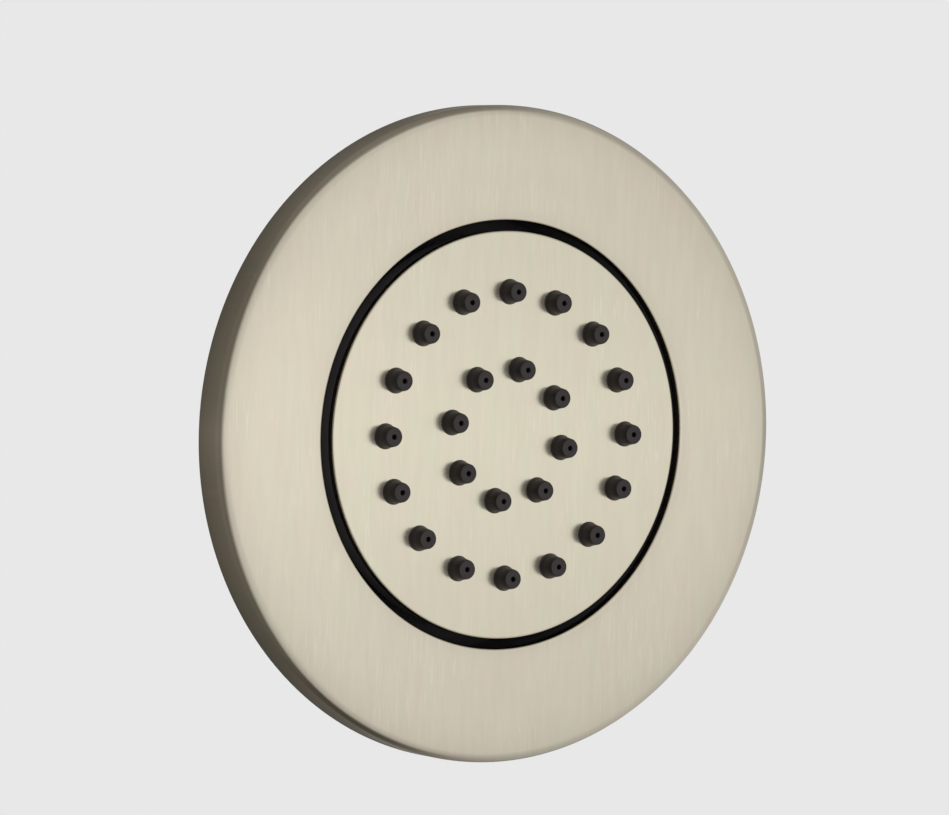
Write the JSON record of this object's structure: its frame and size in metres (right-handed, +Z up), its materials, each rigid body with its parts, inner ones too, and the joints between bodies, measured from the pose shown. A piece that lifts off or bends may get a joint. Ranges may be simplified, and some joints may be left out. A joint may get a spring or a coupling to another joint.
{
  "type": "shower body jet",
  "caption": "Round wall-mounted shower body jet: brushed cover plate, swivelling spray disc with soft nozzles on a ball joint in a recess cup, and a threaded inlet behind.",
  "frame": {"origin": "centre of the cover plate on the wall surface, on the spray axis at rest", "axes": "+Y into the wall along the inlet, so the water leaves along -Y; +Z up"},
  "size_m": [0.12, 0.0655, 0.12],
  "materials": {
    "brushed_nickel": "upright fine brushing, satin",
    "black_silicone": "soft satin black",
    "black_plastic": "moulded matt black",
    "bare_brass": "turned, satin",
    "chromed_brass": "polished",
    "white_plastic": "moulded, slightly translucent white",
    "green_plastic": "moulded green",
    "black_rubber": "moulded black rubber",
    "grey_foam": "closed-cell foam",
    "stainless": "plain stainless steel"
  },
  "bodies": {
    "wall_set": {"cover_plate": "brushed_nickel", "swivel_ball": "chromed_brass", "ball_ring": "black_rubber", "recess_cup": "black_plastic", "wall_gasket": "grey_foam", "flange_ring": "black_rubber", "inlet_nipple": "bare_brass", "inlet_washer": "black_rubber", "lock_nut": "bare_brass", "flow_regulator": "green_plastic", "regulator_ring": "black_rubber", "inlet_strainer": "stainless"},
    "friction_ring": {"friction_ring": "white_plastic"},
    "ball_seat": {"ball_seat": "white_plastic"},
    "spray_head": {"face_disc": "brushed_nickel", "nozzle_mat": "black_silicone", "chamber_back": "black_plastic", "chamber_screws": "stainless", "swivel_nut": "chromed_brass", "seat_ring": "black_rubber"}
  },
  "joints": [
    {"name": "head_tilt", "type": "hinge", "parent": "wall_set", "child": "friction_ring", "pos_m": [0, 0.0098, 0], "axis": [1, 0, 0], "range_deg": [-8, 8]},
    {"name": "head_swing", "type": "hinge", "parent": "friction_ring", "child": "ball_seat", "pos_m": [0, 0.0098, 0], "axis": [0, 0, 1], "range_deg": [-8, 8]},
    {"name": "head_spin", "type": "hinge", "parent": "ball_seat", "child": "spray_head", "pos_m": [0, 0.0098, 0], "axis": [0, 1, 0], "continuous": true}
  ]
}
